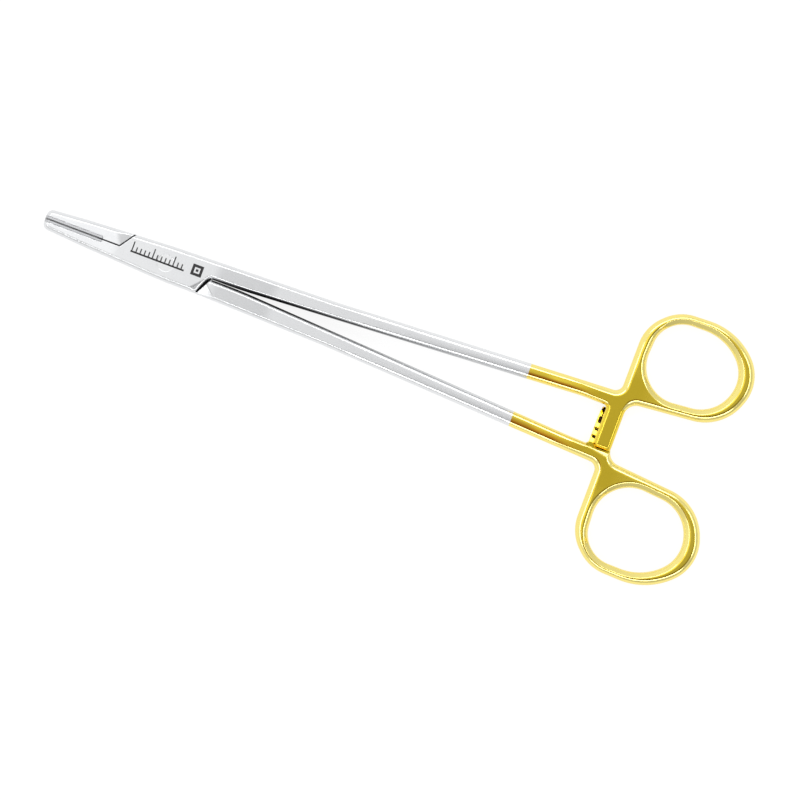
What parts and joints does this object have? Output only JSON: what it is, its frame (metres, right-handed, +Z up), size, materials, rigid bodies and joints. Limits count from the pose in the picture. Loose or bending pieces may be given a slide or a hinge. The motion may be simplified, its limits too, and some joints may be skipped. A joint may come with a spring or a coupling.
{
  "type": "surgical needle holder",
  "caption": "Straight box-lock needle holder with hard-faced jaws, long tapering shanks, a ratchet between them and two finger rings, the handles gold-plated.",
  "frame": {"origin": "on the hinge axis, in the plane of the box's underside, which is the plane that the instrument rests on", "axes": "+X along the instrument from the hinge to the finger rings, +Y across it towards the ring of the box half, +Z up from the table it lies on, along the hinge pin"},
  "size_m": [0.2002, 0.0757, 0.0054],
  "materials": {
    "instrument_steel": "satin",
    "instrument_steel_tang": "satin",
    "pin_steel": "polished",
    "hard_metal": "matte"
  },
  "bodies": {
    "box_side": {"box_half": "instrument_steel", "hinge_pin": "pin_steel", "box_jaw_insert": "hard_metal"},
    "tang_side": {"tang_half": "instrument_steel_tang", "tang_jaw_insert": "hard_metal"}
  },
  "joints": [
    {"name": "box_lock", "type": "hinge", "parent": "box_side", "child": "tang_side", "pos_m": [0, 0, 0.0027], "axis": [0, 0, -1], "range_deg": [0, 36]}
  ]
}
